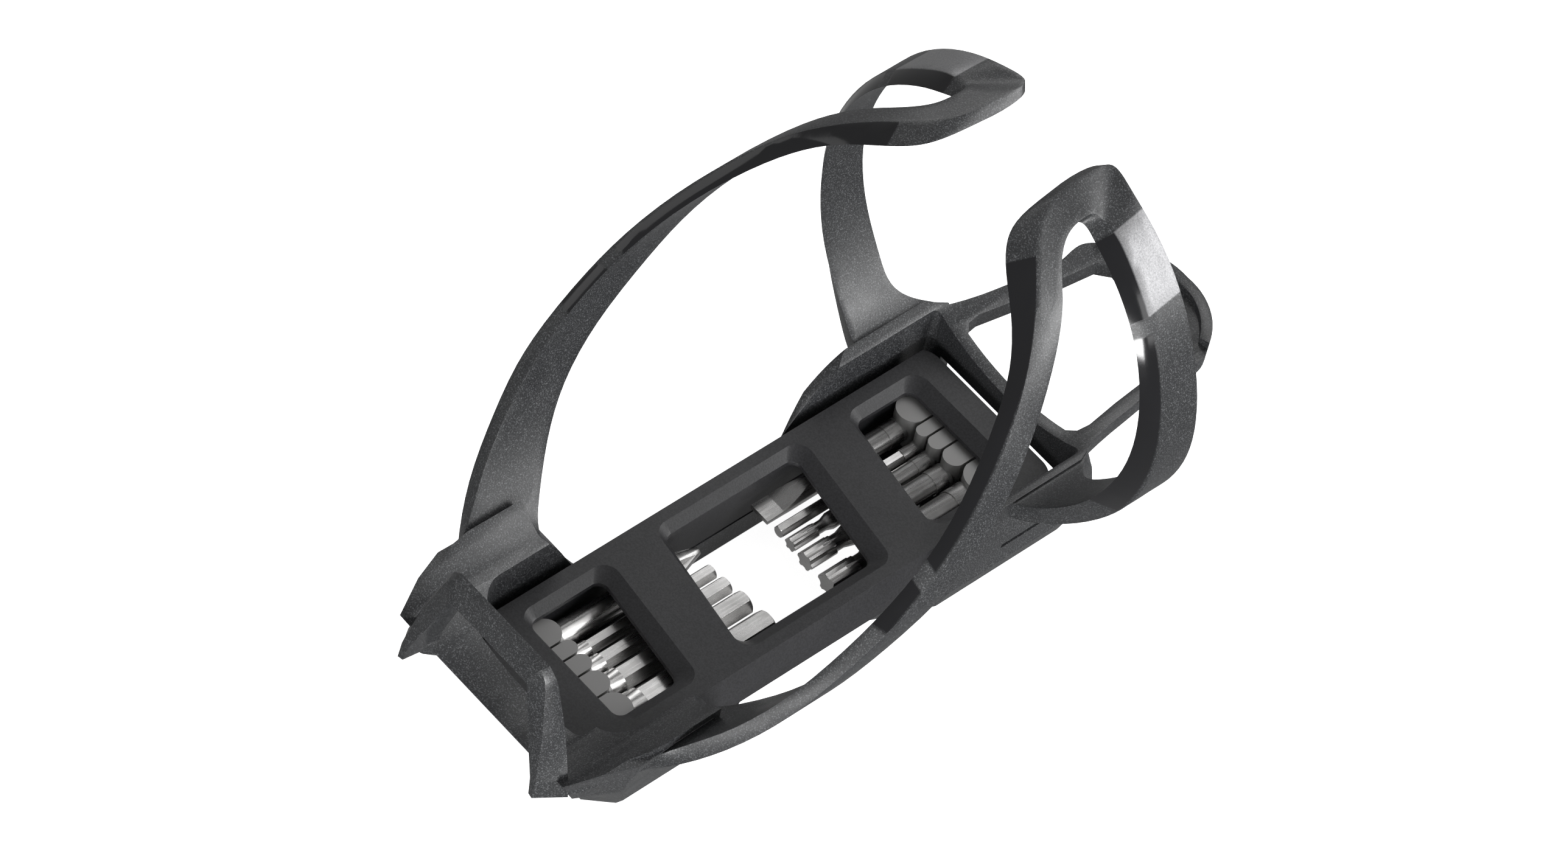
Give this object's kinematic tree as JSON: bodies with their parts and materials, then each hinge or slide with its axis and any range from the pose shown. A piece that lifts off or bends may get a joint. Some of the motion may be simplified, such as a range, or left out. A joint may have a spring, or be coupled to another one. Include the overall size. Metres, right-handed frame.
{
  "type": "water bottle cage",
  "caption": "Moulded bicycle bottle cage with two open loop arms, a foot stop and a rear tab; a folding tool with ten keys lies in a pocket under the bottle.",
  "frame": {"origin": "On the mounting face, midway between the two cage bolt holes.", "axes": "X across the cage, +Y along the bottle towards its mouth, +Z from the bicycle frame towards the bottle."},
  "size_m": [0.0792, 0.1565, 0.0909],
  "materials": {
    "cage_nylon": "fine-grained glass-filled nylon, satin",
    "tool_plastic": "smooth matt black moulding",
    "key_steel": "dark nickel-plated tool steel, satin",
    "axle_steel": "dark zinc-plated steel"
  },
  "bodies": {
    "cage": {"cage_body": "cage_nylon"},
    "tool": {"tool_body": "tool_plastic", "axle_bolt_foot": "axle_steel", "axle_bolt_mouth": "axle_steel", "axle_nut_foot": "axle_steel", "axle_nut_mouth": "axle_steel", "washers_foot": "axle_steel", "washers_mouth": "axle_steel"},
    "cross_driver": {"cross_driver": "key_steel"},
    "hex_key_2_5mm": {"hex_key_2_5mm": "key_steel"},
    "hex_key_3mm": {"hex_key_3mm": "key_steel"},
    "hex_key_4mm": {"hex_key_4mm": "key_steel"},
    "hex_key_5mm": {"hex_key_5mm": "key_steel"},
    "flat_driver": {"flat_driver": "key_steel"},
    "hex_key_2mm": {"hex_key_2mm": "key_steel"},
    "star_key_small": {"star_key_small": "key_steel"},
    "star_key_medium": {"star_key_medium": "key_steel"},
    "star_key_large": {"star_key_large": "key_steel"}
  },
  "joints": [
    {"name": "tool_lift", "type": "slide", "parent": "cage", "child": "tool", "axis": [0, 0, 1], "range_m": [0, 0.06]},
    {"name": "cross_driver_fold", "type": "hinge", "parent": "tool", "child": "cross_driver", "pos_m": [0, -0.042, 0.0093], "axis": [-1, 0, 0], "range_deg": [0, 89.4]},
    {"name": "hex_key_2_5mm_fold", "type": "hinge", "parent": "tool", "child": "hex_key_2_5mm", "pos_m": [0, -0.042, 0.0093], "axis": [-1, 0, 0], "range_deg": [0, 79.1]},
    {"name": "hex_key_3mm_fold", "type": "hinge", "parent": "tool", "child": "hex_key_3mm", "pos_m": [0, -0.042, 0.0093], "axis": [-1, 0, 0], "range_deg": [0, 68.8]},
    {"name": "hex_key_4mm_fold", "type": "hinge", "parent": "tool", "child": "hex_key_4mm", "pos_m": [0, -0.042, 0.0093], "axis": [-1, 0, 0], "range_deg": [0, 58.5]},
    {"name": "hex_key_5mm_fold", "type": "hinge", "parent": "tool", "child": "hex_key_5mm", "pos_m": [0, -0.042, 0.0093], "axis": [-1, 0, 0], "range_deg": [0, 48.2]},
    {"name": "flat_driver_fold", "type": "hinge", "parent": "tool", "child": "flat_driver", "pos_m": [0, 0.042, 0.0093], "axis": [1, 0, 0], "range_deg": [0, 89.4]},
    {"name": "hex_key_2mm_fold", "type": "hinge", "parent": "tool", "child": "hex_key_2mm", "pos_m": [0, 0.042, 0.0093], "axis": [1, 0, 0], "range_deg": [0, 79.1]},
    {"name": "star_key_small_fold", "type": "hinge", "parent": "tool", "child": "star_key_small", "pos_m": [0, 0.042, 0.0093], "axis": [1, 0, 0], "range_deg": [0, 68.8]},
    {"name": "star_key_medium_fold", "type": "hinge", "parent": "tool", "child": "star_key_medium", "pos_m": [0, 0.042, 0.0093], "axis": [1, 0, 0], "range_deg": [0, 58.5]},
    {"name": "star_key_large_fold", "type": "hinge", "parent": "tool", "child": "star_key_large", "pos_m": [0, 0.042, 0.0093], "axis": [1, 0, 0], "range_deg": [0, 48.2]}
  ],
  "couplings": [
    {"joint": "cross_driver_fold", "follows": "tool_lift", "rad_per_m": 26},
    {"joint": "hex_key_2_5mm_fold", "follows": "tool_lift", "rad_per_m": 23},
    {"joint": "hex_key_3mm_fold", "follows": "tool_lift", "rad_per_m": 20},
    {"joint": "hex_key_4mm_fold", "follows": "tool_lift", "rad_per_m": 17},
    {"joint": "hex_key_5mm_fold", "follows": "tool_lift", "rad_per_m": 14},
    {"joint": "flat_driver_fold", "follows": "tool_lift", "rad_per_m": 26},
    {"joint": "hex_key_2mm_fold", "follows": "tool_lift", "rad_per_m": 23},
    {"joint": "star_key_small_fold", "follows": "tool_lift", "rad_per_m": 20},
    {"joint": "star_key_medium_fold", "follows": "tool_lift", "rad_per_m": 17},
    {"joint": "star_key_large_fold", "follows": "tool_lift", "rad_per_m": 14}
  ]
}
